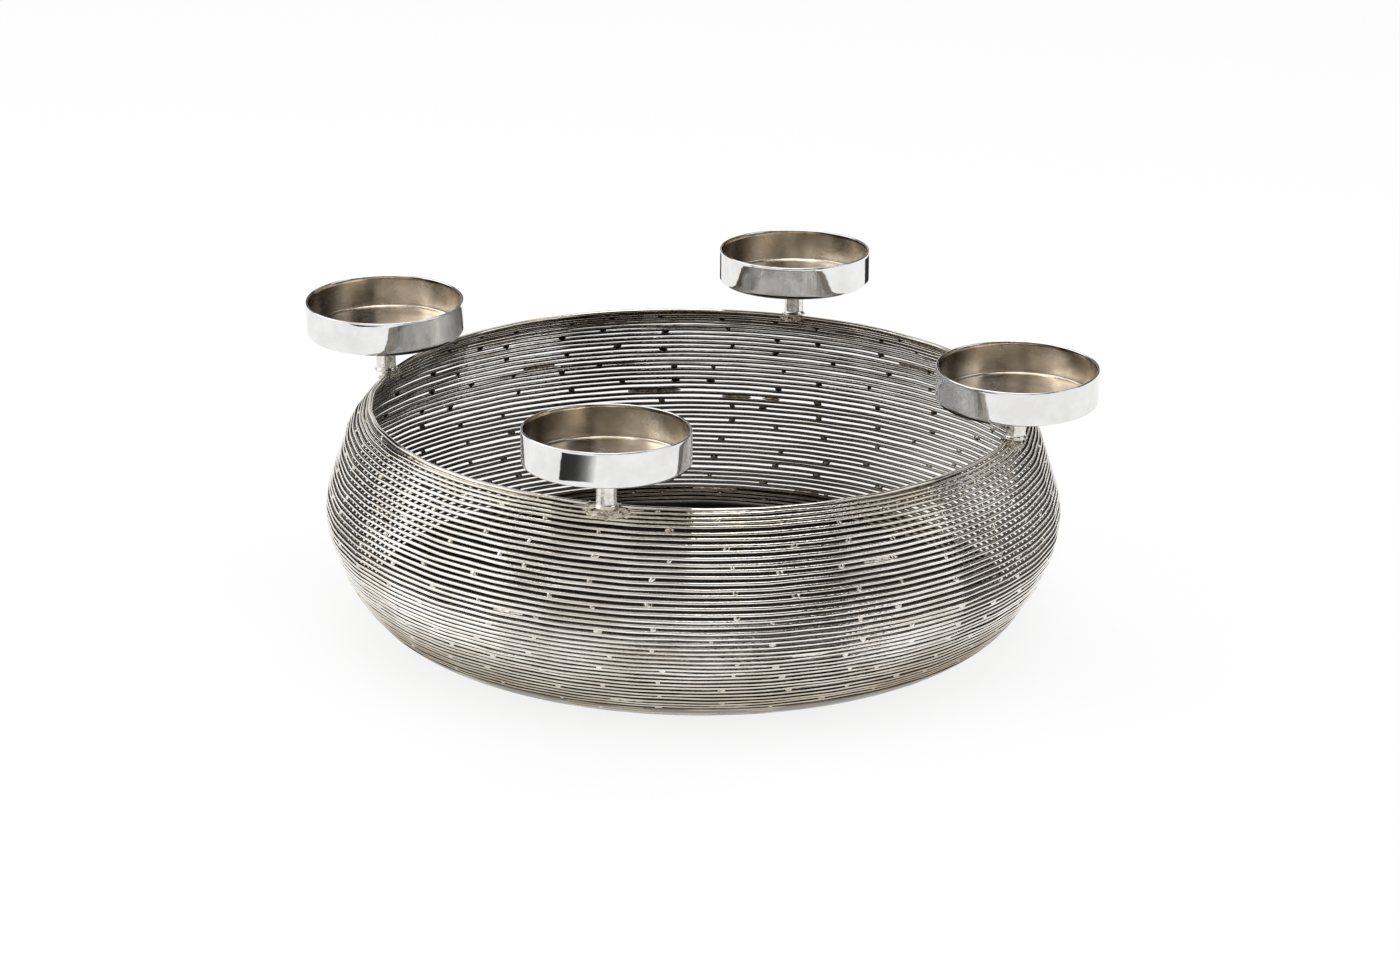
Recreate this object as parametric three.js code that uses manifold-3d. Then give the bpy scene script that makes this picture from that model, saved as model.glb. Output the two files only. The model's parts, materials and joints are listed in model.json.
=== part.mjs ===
import * as THREE from 'three';
import { mergeVertices } from 'three/addons/utils/BufferGeometryUtils.js';
import Module from 'manifold-3d';

// Wreath candle holder: a bowl of stacked wire rings on a pressed base dish, with four candle
// cups on short stems brazed to its rim. Millimetres, +Z up. The origin is the middle of the
// base's underside, +X is to the right and +Y points away from someone in front of it.

const wasm = await Module();
wasm.setup();

// Bowl wall: the line through the wire centres, from the flat of the base up to the rim.
// An angle is how far the wall leans from upright, in degrees.
const RIM_HEIGHT = 111.3;
const BELLY_RADIUS = 184.2;
const HEEL_BEND = 37.6;
const HEEL_ANGLE = 35.5;
const LOWER_BEND = 120;
const LOWER_ANGLE = 21.3;
const BELLY_BEND = 42;
const FLANK_ANGLE = 18.3;
const SHOULDER_BEND = 40.5;
const RIM_ANGLE = 51;

// Wires and the base dish
const WIRE_DIAMETER = 1.9;
const RIM_WIRE_DIAMETER = 2.4;
const SHEET = 1.2;
const DISH_WALL = 16.5;

// Rings below the first one, from the rim down: how many, and how far apart along the wall. The
// whole row is stretched evenly to fill the wall.
const RING_ZONES = [
  { count: 3, pitch: 2.25 },
  { count: 18, pitch: 2.94 },
  { count: 23, pitch: 2.6 },
];

// Braze beads that tie each ring to the one above it
const BEADS_PER_RING = 2;
const BEAD_SHIFT_COUNT = 7;
const BEAD_TOP_LENGTH = 1.6;
const BEAD_FOOT_LENGTH = 3.8;
const BEAD_SWELL = 1.25;

// Candle cups, stems and the braze mounds at the stems' feet
const CUP_DIAMETER = 80;
const CUP_HEIGHT = 17.5;
const CUP_SHEET = 1;
const CUP_CORNER = 3;
const CUP_OUTSET = 3.14;
const CUP_RISE = 36.8;
const STEM_DIAMETER = 9.8;
const MOUND_WIDTH = 16;
const MOUND_DEPTH = 14;
const MOUND_HEIGHT = 10;
const MOUND_DROP = 3;
const MOUND_FLOOR = 0.8;

// The cups' middles stand CUP_OUTSET outside the rim wire's middle, and their lips CUP_RISE over
// the rim. Each cup was set by hand, so it has its own place round the rim, lift above that
// height, and lean: the slope of its lip towards +X and towards +Y. Angles in degrees.
const CUP_PLACES = [
  { name: 'front', azimuth: -104.15, lift: 1.4, slopeX: 0.1, slopeY: -1.25 },
  { name: 'right', azimuth: -17.85, lift: -0.5, slopeX: 0.2, slopeY: 1.45 },
  { name: 'back', azimuth: 71.7, lift: -1.3, slopeX: 0.3, slopeY: -0.85 },
  { name: 'left', azimuth: 163.65, lift: 0.5, slopeX: 0.85, slopeY: 1.85 },
];

// Clearance between pieces that touch, and the faceting
const SEAT_GAP = 0.3;
const RING_STATIONS = 36;
const RIM_SIDES = 6;
const CUP_SEGMENTS = 24;
const STEM_SEGMENTS = 16;
const MOUND_SEGMENTS = 12;
const MOUND_RINGS = 8;
const CORNER_STEPS = 3;
const DISH_STEPS = 5;

const degrees = THREE.MathUtils.degToRad;
const wireRadius = WIRE_DIAMETER / 2;
const rimWireRadius = RIM_WIRE_DIAMETER / 2;

const nickel = new THREE.MeshStandardMaterial({ color: 0xb9b2a6, roughness: 0.3, metalness: 1 });
const nickelCup = new THREE.MeshStandardMaterial({ color: 0xd2cdc2, roughness: 0.22, metalness: 1 });
const braze = new THREE.MeshStandardMaterial({ color: 0xa89c86, roughness: 0.5, metalness: 1 });

const sine = (angle) => Math.sin(degrees(angle));
const cosine = (angle) => Math.cos(degrees(angle));

// Arcs of the wall from the base up: bend radius, and the tilt of the outward normal where the
// arc starts and ends. The straight flank has no bend and one tilt.
const wallStretches = [
  { bend: HEEL_BEND, from: -90, to: -HEEL_ANGLE },
  { bend: LOWER_BEND, from: -HEEL_ANGLE, to: -LOWER_ANGLE },
  { bend: BELLY_BEND, from: -LOWER_ANGLE, to: FLANK_ANGLE },
  { straight: flankLength(), from: FLANK_ANGLE, to: FLANK_ANGLE },
  { bend: SHOULDER_BEND, from: FLANK_ANGLE, to: RIM_ANGLE },
];

// How long the flank is, so that the rim wire's top comes out at its height
function flankLength() {
  const heel = HEEL_BEND * (1 - sine(HEEL_ANGLE));
  const lower = LOWER_BEND * (sine(HEEL_ANGLE) - sine(LOWER_ANGLE));
  const belly = BELLY_BEND * (sine(LOWER_ANGLE) + sine(FLANK_ANGLE));
  const shoulder = SHOULDER_BEND * (sine(RIM_ANGLE) - sine(FLANK_ANGLE));
  const wallHeight = RIM_HEIGHT - rimWireRadius - SHEET / 2;
  return (wallHeight - heel - lower - belly - shoulder) / cosine(FLANK_ANGLE);
}

// How far out the flat of the base reaches, so that the belly comes out at its radius
function flatRadius() {
  const heel = HEEL_BEND * cosine(HEEL_ANGLE);
  const lower = LOWER_BEND * (cosine(LOWER_ANGLE) - cosine(HEEL_ANGLE));
  const belly = BELLY_BEND * (1 - cosine(LOWER_ANGLE));
  return BELLY_RADIUS - heel - lower - belly;
}

// The wall line in the plane of radius and height
function makeWallLine() {
  const line = new THREE.CurvePath();
  const at = new THREE.Vector2(flatRadius(), SHEET / 2);
  for (const stretch of wallStretches) {
    const start = degrees(stretch.from);
    const end = degrees(stretch.to);
    if (stretch.straight) {
      const along = new THREE.Vector2(-Math.sin(start), Math.cos(start));
      const next = at.clone().addScaledVector(along, stretch.straight);
      line.add(new THREE.LineCurve(at.clone(), next));
      at.copy(next);
    } else {
      const outward = new THREE.Vector2(Math.cos(start), Math.sin(start));
      const middle = at.clone().addScaledVector(outward, -stretch.bend);
      line.add(new THREE.EllipseCurve(middle.x, middle.y, stretch.bend, stretch.bend, start, end));
      at.set(Math.cos(end), Math.sin(end)).multiplyScalar(stretch.bend).add(middle);
    }
  }
  return line;
}

const wallLine = makeWallLine();
const wallLength = wallLine.getLength();

// A point of the wall line, a distance down from the rim, with its outward normal
function wallPlace(distance) {
  const share = 1 - distance / wallLength;
  const point = wallLine.getPoint(share);
  const tangent = wallLine.getTangent(share);
  return { point, normal: new THREE.Vector2(tangent.y, -tangent.x) };
}

const rimPlace = wallPlace(0);
const firstRing = rimWireRadius + SEAT_GAP + wireRadius;
const lastRing = wallLength - DISH_WALL - SEAT_GAP - wireRadius;
const ringPlaces = ringDistances().map(wallPlace);

// How far down from the rim each ring runs
function ringDistances() {
  const steps = RING_ZONES.flatMap(({ count, pitch }) => Array(count).fill(pitch));
  const whole = steps.reduce((sum, step) => sum + step);
  const stretch = (lastRing - firstRing) / whole;
  const distances = [firstRing];
  for (const step of steps) distances.push(distances[distances.length - 1] + step * stretch);
  return distances;
}

// Turns an outline of [radius, height] points round +Z. The three.js lathe turns round +Y, so
// its result is tipped upright.
function lathe(outline, segments) {
  const points = outline.map(([radius, height]) => new THREE.Vector2(radius, height));
  return new THREE.LatheGeometry(points, segments).rotateX(Math.PI / 2);
}

// Points of an arc in the plane of radius and height
function arc(x, y, radius, from, to, steps) {
  return Array.from({ length: steps + 1 }, (_, i) => {
    const angle = degrees(from + ((to - from) * i) / steps);
    return [x + radius * Math.cos(angle), y + radius * Math.sin(angle)];
  });
}

function solid(geometry) {
  const bare = geometry.clone();
  bare.deleteAttribute('normal');
  bare.deleteAttribute('uv');
  const merged = mergeVertices(bare);
  return new wasm.Manifold(new wasm.Mesh({
    numProp: 3,
    vertProperties: new Float32Array(merged.attributes.position.array),
    triVerts: new Uint32Array(merged.index.array),
  }));
}

function geometryOf(manifold) {
  const mesh = manifold.getMesh();
  const geometry = new THREE.BufferGeometry();
  geometry.setAttribute('position', new THREE.BufferAttribute(mesh.vertProperties, 3));
  geometry.setIndex(new THREE.BufferAttribute(mesh.triVerts, 1));
  geometry.computeVertexNormals();
  return geometry;
}

const holder = new THREE.Group();

function addPiece(parent, name, geometry, material) {
  const mesh = new THREE.Mesh(geometry, material);
  mesh.name = name;
  parent.add(mesh);
  return mesh;
}

// Pressed base dish: flat below, its edge turned up to meet the lowest ring
function baseDish() {
  const outside = [];
  const inside = [];
  for (let i = 0; i <= DISH_STEPS; i += 1) {
    const { point, normal } = wallPlace(wallLength - (DISH_WALL * i) / DISH_STEPS);
    const half = normal.multiplyScalar(SHEET / 2);
    outside.push([point.x + half.x, point.y + half.y]);
    inside.unshift([point.x - half.x, point.y - half.y]);
  }
  outside[0][1] = 0;
  inside[DISH_STEPS][1] = SHEET;
  return lathe([[0, 0], ...outside, ...inside, [0, SHEET]], RING_STATIONS);
}

// The stations round one ring: a plain one at each even step, and where a bead sits, four close
// ones, of which the middle two reach up to the next ring
function ringStations(radius, beadSteps) {
  const stations = [];
  for (let step = 0; step < RING_STATIONS; step += 1) {
    const angle = (2 * Math.PI * step) / RING_STATIONS;
    if (!beadSteps.includes(step)) {
      stations.push({ angle, bead: false });
      continue;
    }
    const top = BEAD_TOP_LENGTH / 2 / radius;
    const foot = BEAD_FOOT_LENGTH / 2 / radius;
    stations.push({ angle: angle - foot, bead: false });
    stations.push({ angle: angle - top, bead: true });
    stations.push({ angle: angle + top, bead: true });
    stations.push({ angle: angle + foot, bead: false });
  }
  return stations;
}

// One closed wire ring of four-sided section, with its beads reaching towards the ring above
function wireRing(place, above, reach, beadSteps) {
  const up = above.point.clone().sub(place.point).normalize();
  const out = new THREE.Vector2(up.y, -up.x);
  const stations = ringStations(place.point.x, beadSteps);
  const positions = [];
  const faces = [];
  stations.forEach(({ angle, bead }, i) => {
    const side = bead ? wireRadius * BEAD_SWELL : wireRadius;
    const section = [
      place.point.clone().addScaledVector(out, side),
      place.point.clone().addScaledVector(up, bead ? reach : wireRadius),
      place.point.clone().addScaledVector(out, -side),
      place.point.clone().addScaledVector(up, -wireRadius),
    ];
    for (const corner of section) {
      positions.push(corner.x * Math.cos(angle), corner.x * Math.sin(angle), corner.y);
    }
    const here = i * section.length;
    const next = ((i + 1) % stations.length) * section.length;
    for (let k = 0; k < section.length; k += 1) {
      const after = (k + 1) % section.length;
      faces.push(here + k, next + k, next + after);
      faces.push(here + k, next + after, here + after);
    }
  });
  const geometry = new THREE.BufferGeometry();
  geometry.setAttribute('position', new THREE.Float32BufferAttribute(positions, 3));
  geometry.setIndex(faces);
  geometry.computeVertexNormals();
  return geometry;
}

// The steps round ring number index at which its beads sit, shifted from ring to ring
function beadStepsOf(index) {
  const apart = RING_STATIONS / BEADS_PER_RING;
  return Array.from({ length: BEADS_PER_RING }, (_, j) => (
    Math.round(index * BEAD_SHIFT_COUNT + j * apart) % RING_STATIONS
  ));
}

function addWireRings() {
  const middle = rimPlace.point;
  const section = arc(middle.x, middle.y, rimWireRadius, 90, 90 + 360, RIM_SIDES);
  addPiece(holder, 'rim_ring', lathe(section, RING_STATIONS), nickel);
  ringPlaces.forEach((place, i) => {
    const above = i === 0 ? rimPlace : ringPlaces[i - 1];
    const aboveRadius = i === 0 ? rimWireRadius : wireRadius;
    const reach = place.point.distanceTo(above.point) - aboveRadius - SEAT_GAP;
    const name = `wire_ring_${String(i + 1).padStart(2, '0')}`;
    addPiece(holder, name, wireRing(place, above, reach, beadStepsOf(i)), nickel);
  });
}

// Pressed pan with a rounded corner, its lip at height 0
function cupPan() {
  const radius = CUP_DIAMETER / 2;
  const floor = -CUP_HEIGHT;
  const bend = radius - CUP_CORNER;
  const outside = arc(bend, floor + CUP_CORNER, CUP_CORNER, -90, 0, CORNER_STEPS);
  const inside = arc(bend, floor + CUP_CORNER, CUP_CORNER - CUP_SHEET, 0, -90, CORNER_STEPS);
  const lip = [[radius, 0], [radius - CUP_SHEET, 0]];
  return lathe([[0, floor], ...outside, ...lip, ...inside, [0, floor + CUP_SHEET]], CUP_SEGMENTS);
}

function upright(radius, bottom, top) {
  const geometry = new THREE.CylinderGeometry(radius, radius, top - bottom, STEM_SEGMENTS);
  return geometry.rotateX(Math.PI / 2).translate(0, 0, (bottom + top) / 2);
}

// All that lies under the wall's outer skin near the rim, with the clearance on it
function wallUnderMound() {
  const skin = ringPlaces.map(({ point, normal }) => (
    point.clone().addScaledVector(normal, wireRadius + SEAT_GAP)
  ));
  const moundBottom = RIM_HEIGHT - MOUND_DROP - MOUND_HEIGHT / 2;
  const lowest = skin.findIndex((point) => point.y < moundBottom);
  const outline = skin.slice(0, lowest + 1).reverse().map((point) => [point.x, point.y]);
  const bottom = outline[0][1];
  const { x, y } = rimPlace.point;
  const over = arc(x, y, rimWireRadius + SEAT_GAP, RIM_ANGLE, 90, CORNER_STEPS);
  const top = over[over.length - 1][1];
  return solid(lathe([[0, bottom], ...outline, ...over, [0, top]], RING_STATIONS));
}

// Braze mound round a stem's foot: a blob over the rim wires, hollowed where the stem stands
function brazeMound(foot, stemPocket, wallBody) {
  const blob = new THREE.SphereGeometry(1, MOUND_SEGMENTS, MOUND_RINGS);
  blob.scale(MOUND_DEPTH / 2, MOUND_WIDTH / 2, MOUND_HEIGHT / 2);
  blob.rotateZ(Math.atan2(foot.y, foot.x));
  blob.translate(foot.x, foot.y, RIM_HEIGHT - MOUND_DROP);
  return geometryOf(solid(blob).subtract(wallBody).subtract(solid(stemPocket)));
}

// A cup with its stem hangs in one group at the middle of its lip, leaned as a whole
function addCandleCups() {
  const wallBody = wallUnderMound();
  const circleRadius = rimPlace.point.x + CUP_OUTSET;
  for (const { name, azimuth, lift, slopeX, slopeY } of CUP_PLACES) {
    const turn = degrees(azimuth);
    const rise = CUP_RISE + lift;
    const group = new THREE.Group();
    group.position.set(
      circleRadius * Math.cos(turn),
      circleRadius * Math.sin(turn),
      RIM_HEIGHT + rise,
    );
    const normal = new THREE.Vector3(-Math.tan(degrees(slopeX)), -Math.tan(degrees(slopeY)), 1);
    group.quaternion.setFromUnitVectors(new THREE.Vector3(0, 0, 1), normal.normalize());
    group.updateMatrix();
    holder.add(group);

    const stemTop = -CUP_HEIGHT - SEAT_GAP;
    const stemFoot = -rise + SEAT_GAP + MOUND_FLOOR + SEAT_GAP;
    addPiece(group, `cup_${name}`, cupPan(), nickelCup);
    addPiece(group, `stem_${name}`, upright(STEM_DIAMETER / 2, stemFoot, stemTop), nickelCup);

    const pocket = upright(STEM_DIAMETER / 2 + SEAT_GAP, stemFoot - SEAT_GAP, stemTop);
    const foot = new THREE.Vector3(0, 0, stemFoot).applyMatrix4(group.matrix);
    const mound = brazeMound(foot, pocket.applyMatrix4(group.matrix), wallBody);
    addPiece(holder, `braze_mound_${name}`, mound, braze);
  }
}

addPiece(holder, 'base_dish', baseDish(), nickel);
addWireRings();
addCandleCups();

export default holder;
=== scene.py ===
"""Looks of the wreath candle holder: wire bowl, braze beads, candle cups, light and camera.

Metres, +Z up, in the frame of the solid model. Sizes come from that model's nodes and from the
named values below. Angles round the bowl start at +X and run anticlockwise seen from above.
"""

import json
import math
import random

import bpy
import bmesh
import numpy as np
from mathutils import Matrix, Vector, noise


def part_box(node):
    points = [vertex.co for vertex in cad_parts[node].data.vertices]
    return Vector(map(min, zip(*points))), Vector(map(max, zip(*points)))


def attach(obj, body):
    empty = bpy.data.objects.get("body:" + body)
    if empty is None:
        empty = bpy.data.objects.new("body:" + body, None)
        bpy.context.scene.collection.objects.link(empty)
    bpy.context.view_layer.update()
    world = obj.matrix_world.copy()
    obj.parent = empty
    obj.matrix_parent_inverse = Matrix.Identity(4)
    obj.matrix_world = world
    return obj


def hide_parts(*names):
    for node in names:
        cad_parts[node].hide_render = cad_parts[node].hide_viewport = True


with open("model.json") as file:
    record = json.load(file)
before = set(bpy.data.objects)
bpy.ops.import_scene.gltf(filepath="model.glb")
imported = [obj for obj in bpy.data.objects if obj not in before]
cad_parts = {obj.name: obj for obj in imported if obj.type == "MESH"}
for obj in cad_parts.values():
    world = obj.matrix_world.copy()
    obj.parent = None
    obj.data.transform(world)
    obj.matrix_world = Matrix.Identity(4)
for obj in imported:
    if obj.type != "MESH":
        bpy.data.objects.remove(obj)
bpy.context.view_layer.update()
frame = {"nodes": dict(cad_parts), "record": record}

MM = 0.001

# Wire rings: stations round a ring, sides of its section, and how far it strays from true
RING_STATIONS = 432
WIRE_SIDES = 10
STRAY_WAVES = (2, 3, 5, 8, 13, 21, 34)
STRAY_FADE = 0.4
WIRE_STRAY = 0.13 * MM
WALL_STRAY = 0.35 * MM
WALL_SEED = 7
FIRST_RING_SEED = 100

# Middle radius of the wall, which turns an angle into a length along the wires
WALL_RADIUS = 170 * MM

# Where a ring leaves its neighbour: its number, middle angle and reach in degrees, and rise
LOOSE_SPOTS = (
    (0, -162, 16, 1.0 * MM),
    (1, -162, 16, -0.9 * MM),
    (2, -162, 16, -0.5 * MM),
    (3, -162, 16, -0.2 * MM),
    (1, -51, 10, -0.30 * MM),
)

# Marks on the points of wires and beads: how far they face the next wire, and the bowl's inside,
# and on the points of the cards: their grey
CREVICE = "crevice"
INWARD = "inward"
SHADE = "shade"

# Below, a GRAIN is the scale of a noise. An EDGE says from where to where a mark counts, or a
# noise, which stays near a half: its stops are a value and its share.

# Drift of a metal's colour and roughness, between two values of the noise, how much finer the
# roughness drifts, and the patches where the surface is uneven
COLOUR_DRIFT = (0.36, 0.62)
ROUGHNESS_DRIFT = (0.35, 0.68)
ROUGHNESS_FINER = 1.7
UNEVEN_EDGE = ((0.42, 0.25), (0.60, 1.0))

# Brown tint near the base and the rim: its patches, and its share by height above the floor. Near
# the base it is a painted shade, the shaded floor's reflection; near the rim the brown of brazing.
BASE_SHADE_AND_HEAT_TINT = (0.37, 0.29, 0.185)
TINT_GRAIN = 9.0
TINT_EDGE = ((0.38, 0.30), (0.58, 1.0))
TINT_BY_HEIGHT = (
    (0.0, 1.0),
    (14 * MM, 0.9),
    (34 * MM, 0.0),
    (94 * MM, 0.0),
    (105 * MM, 0.55),
)

# How much noise makes the edges of the painted shade ragged
RAGGEDNESS = 0.30

# Painted shade beside the wires, where a wire faces its neighbours: how much the side towards
# the bowl's inside is spared, and how much further it reaches by height above the floor
CREVICE_SHADE = (0.045, 0.039, 0.031)
CREVICE_GRAIN = 170.0
CREVICE_EDGE = ((0.74, 0.0), (0.97, 1.0))
CREVICE_SPARED_INSIDE = 0.6
CREVICE_SHADE_BY_HEIGHT = ((0.0, 0.33), (40 * MM, 0.03), (94 * MM, 0.02), (104 * MM, 0.14))

# Painted shade on the sides towards the bowl's inside: the angle round it where there is most,
# the wall's distance there, and the share by how far a place lies that way
INSIDE_SHADE_ANGLE = 115
INSIDE_SHADE_REACH = 165 * MM
INSIDE_SHADE_AMOUNT = ((0.15, 0.25), (0.60, 1.0))
INSIDE_GRAIN = 60.0
INSIDE_EDGE = ((0.57, 0.0), (0.84, 1.0))

# The way that the painted shade on the cups' inner walls faces
SHADED_SIDE = (0.98, -0.2, 0.0)
SHADED_EDGE = ((0.30, 0.0), (0.85, 1.0))

# Step through the noise from one lumpy piece to the next
LUMP_STEP = (3.7, 1.3, -2.1)

# Braze beads between neighbouring wires, set in loose columns round the bowl
BEAD_PLACE_SEED = 11
BEAD_SEED = 23
BEAD_COLUMNS = 38
ROWS_PER_BEAD = 4
ROW_SLIPS = (0, 0, 0, 1)
BEAD_SCATTER = 0.3
BEAD_HALF_LENGTH = 1.5 * MM
BEAD_LENGTHS = (0.75, 1.6)
BEAD_HALF_DEPTH = 0.95 * MM
BEAD_DEPTHS = (0.85, 1.2)
BEAD_OVERLAP = 0.55 * MM
BEAD_SKEW = 0.9 * MM
BEAD_ROUGHNESS = 0.45
BEAD_LUMP_SCALE = 1.6

# Longer runs of braze: their sections, how bluntly they end, how thick and uneven they are, and
# the steps through the noise along a run and from one run to the next
RUN_SIDES = 8
RUN_LEAST_STATIONS = 6
RUN_STATIONS_PER_DEGREE = 2
RUN_BLUNTNESS = 0.35
RUN_LEAST_SHARE = 0.02
RUN_LEVEL = 0.8
RUN_UNEVENNESS = 0.45
RUN_STEP = 0.45
NEXT_RUN_STEP = 5.3

# Where they are: the gap under which wire (0 is the rim), middle angle and arc in degrees
BROWN_RUNS = (
    (0, 96, 33),
    (1, 92, 26),
    (2, 99, 22),
    (0, 30, 9),
    (0, 160, 12),
    (20, 97, 9),
    (21, 83, 5),
    (21, 77, 3),
    (13, 118, 6),
    (9, 48, 8),
    (41, 86, 9),
    (40, 68, 5),
)
# The dark runs are near-black tubes in the gap under the rim: a painted shade where the gap looks
# into the bowl's dark inside
GAP_SHADE_RUNS = (
    (0, -165, 38),
    (0, -51, 26),
)
BRIGHT_RUNS = (
    (0, -134, 34),
    (11, -60, 6),
    (20, -118, 5),
    (26, -72, 6),
    (0, -104, 12),
    (0, -84, 14),
    (1, -103, 8),
    (38, -100, 5),
    (39, -84, 9),
    (38, -60, 7),
)

# How near the floor counts as flat, and how near points are welded
FLAT_LIMIT = 0.05 * MM
WELD_LIMIT = 0.001 * MM

# Edge of the base dish, lapped thinly round the lowest wires
LAP_HEIGHT = 11.2 * MM
LAP_OUTSIDE = 1.0 * MM
LAP_SHEET = 0.5 * MM
DISH_SEGMENTS = 288

# Candle cups: the lobes of their lips, shallow dents in the wall and sag of the floor
CUP_NAMES = ("front", "right", "back", "left")
CUP_SEGMENTS = 160
CUP_CORNER = 2.2 * MM
CUP_LIP_LOBES = (2, 3, 5)
CUP_OUT_OF_ROUND = 0.16 * MM
CUP_SEED = 40
CUP_NOISE_STEP = 9
CUP_DENT = 0.05 * MM
CUP_DENT_SCALE = 90
CUP_DENT_SQUASH = 1.5
CUP_SAG = 1.6 * CUP_DENT
CUP_SAG_SCALE = 45

# Stems: flared at both ends, let into the cup's floor and into the mound
STEM_SEGMENTS = 48
STEM_FLARE = 1.2 * MM
STEM_FOOT_FLARE_HEIGHT = 1.6 * STEM_FLARE
STEM_FILLET_DROP = 0.05 * MM
STEM_INTO_CUP = 0.1 * MM
STEM_INTO_MOUND = 1.5 * MM
STEM_UNEVENNESS = 0.02
STEM_LUMP_SCALE = 500

# Braze mounds: size, place beside the rim's wire, how far the outer side hangs down, and the
# seed, depth and scale of their lumps
MOUND_WIDTHS = {"front": 23 * MM, "right": 17 * MM, "back": 14 * MM, "left": 13 * MM}
MOUND_DEPTH = 10 * MM
MOUND_HEIGHT = 4.6 * MM
MOUND_OUTSET = 1.2 * MM
MOUND_DROP = 0.9 * MM
MOUND_HANG = 0.55
MOUND_LUMPS = ((60, 0.30, 3.2), (80, 0.16, 9.0))

# Camera
VIEW_DISTANCE = 2.2
VIEW_ELEVATION = 18.912
VIEW_ROLL = 0.774
VIEW_LENS = 112.03
VIEW_ASIDE = 3.14 * MM
VIEW_DROP = 41.8 * MM

# Light of the world on the object, and how white world and floor show to the camera and in metal
WORLD_LIGHT = 0.7
WORLD_SEEN = (1.0, 1.0)
FLOOR_SEEN = (0.85, 0.95)
FLOOR_HALF = 14.0

# Height of the middle of lamps and walls, and the walls' distance and steps
STAGE_MIDDLE = 80 * MM
WALL_DISTANCE = 3.2
WALL_STEPS = 24

# Softboxes: name, azimuth, elevation, distance, width, height and power
LAMPS = (
    ("softbox_over", 90, 86, 1.9, 1.5, 1.5, 16),
    ("softbox_left", 182, 24, 1.9, 2.0, 1.5, 11),
    ("softbox_right", -16, 28, 2.0, 1.2, 1.2, 6),
)

# Studio walls: name, azimuth, width in degrees, lowest and highest elevation, and colour
WALL_PANELS = (
    ("studio_wall_left", 182, 54, -3, 76, (0.50, 0.49, 0.47)),
    ("studio_wall_camera_left", -130, 42, -3, 72, (0.70, 0.685, 0.66)),
    ("studio_wall_camera_side", -92, 34, -3, 60, (0.36, 0.35, 0.335)),
    ("studio_wall_camera_right", -56, 38, -3, 66, (0.030, 0.028, 0.025)),
    ("studio_wall_right", 11, 96, -3, 80, (0.09, 0.086, 0.08)),
    ("studio_wall_far_side", 107, 96, 11, 34, (0.010, 0.009, 0.008)),
)

# Dark cards on the table: the cup, near and far distance from it, and greys by azimuth round it
FLOOR_CARDS = (
    ("front", (0.44, 0.90), ((-153, 0.03), (-132, 0.04), (-120, 0.16), (-104, 0.85))),
    ("back", (0.42, 0.58), ((44, 0.03), (70, 0.03))),
    ("back", (0.42, 0.58), ((108, 0.03), (120, 0.03))),
)
CARD_HEIGHT = 2 * MM

RING_NAMES = ["rim_ring"] + sorted(
    name for name in frame["nodes"] if name.startswith("wire_ring_")
)


# Materials

def new_material(name):
    """A new material, its node tree and its Principled shader."""
    material = bpy.data.materials.new(name)
    material.use_nodes = True
    return material, material.node_tree, material.node_tree.nodes["Principled BSDF"]


def math_node(tree, operation, *values):
    """The output of a Math node, from sockets or numbers."""
    node = tree.nodes.new("ShaderNodeMath")
    node.operation = operation
    for socket, value in zip(node.inputs, values):
        if isinstance(value, bpy.types.NodeSocket):
            tree.links.new(value, socket)
        else:
            socket.default_value = value
    return node.outputs[0]


def along_way(tree, vector, way):
    """How far a vector goes a fixed way."""
    node = tree.nodes.new("ShaderNodeVectorMath")
    node.operation = "DOT_PRODUCT"
    tree.links.new(vector, node.inputs[0])
    node.inputs[1].default_value = way
    return node.outputs["Value"]


def around_coordinates(tree, along, across):
    """Coordinates round the bowl's axis: arc times along, radius and height times across."""
    place = tree.nodes.new("ShaderNodeTexCoord")
    split = tree.nodes.new("ShaderNodeSeparateXYZ")
    tree.links.new(place.outputs["Object"], split.inputs[0])
    angle = math_node(tree, "ARCTAN2", split.outputs["Y"], split.outputs["X"])
    squares = math_node(
        tree,
        "ADD",
        math_node(tree, "MULTIPLY", split.outputs["X"], split.outputs["X"]),
        math_node(tree, "MULTIPLY", split.outputs["Y"], split.outputs["Y"]),
    )
    radius = math_node(tree, "SQRT", squares)
    join = tree.nodes.new("ShaderNodeCombineXYZ")
    tree.links.new(math_node(tree, "MULTIPLY", angle, WALL_RADIUS * along), join.inputs[0])
    tree.links.new(math_node(tree, "MULTIPLY", radius, across), join.inputs[1])
    tree.links.new(math_node(tree, "MULTIPLY", split.outputs["Z"], across), join.inputs[2])
    return join.outputs[0]


def object_coordinates(tree):
    return tree.nodes.new("ShaderNodeTexCoord").outputs["Object"]


def noise_at(tree, coordinates, scale, detail=3.0, roughness=0.55):
    node = tree.nodes.new("ShaderNodeTexNoise")
    node.inputs["Scale"].default_value = scale
    node.inputs["Detail"].default_value = detail
    node.inputs["Roughness"].default_value = roughness
    tree.links.new(coordinates, node.inputs["Vector"])
    return node.outputs[0]


def ramp(tree, factor, stops):
    """A colour ramp through (place, colour) stops; a number stands for a grey."""
    node = tree.nodes.new("ShaderNodeValToRGB")
    elements = node.color_ramp.elements
    for index, (place, colour) in enumerate(stops):
        if index < len(elements):
            element = elements[index]
        else:
            element = elements.new(place)
        element.position = place
        element.color = (colour,) * 3 + (1,) if isinstance(colour, (int, float)) else (*colour, 1)
    tree.links.new(factor, node.inputs["Fac"])
    return node.outputs["Color"]


def height_above_floor(tree):
    split = tree.nodes.new("ShaderNodeSeparateXYZ")
    tree.links.new(object_coordinates(tree), split.inputs[0])
    return split.outputs["Z"]


def marked(tree, mark):
    """The value of a mark on the points, 0 where a piece has no such mark."""
    node = tree.nodes.new("ShaderNodeAttribute")
    node.attribute_name = mark
    return node.outputs["Fac"]


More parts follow.
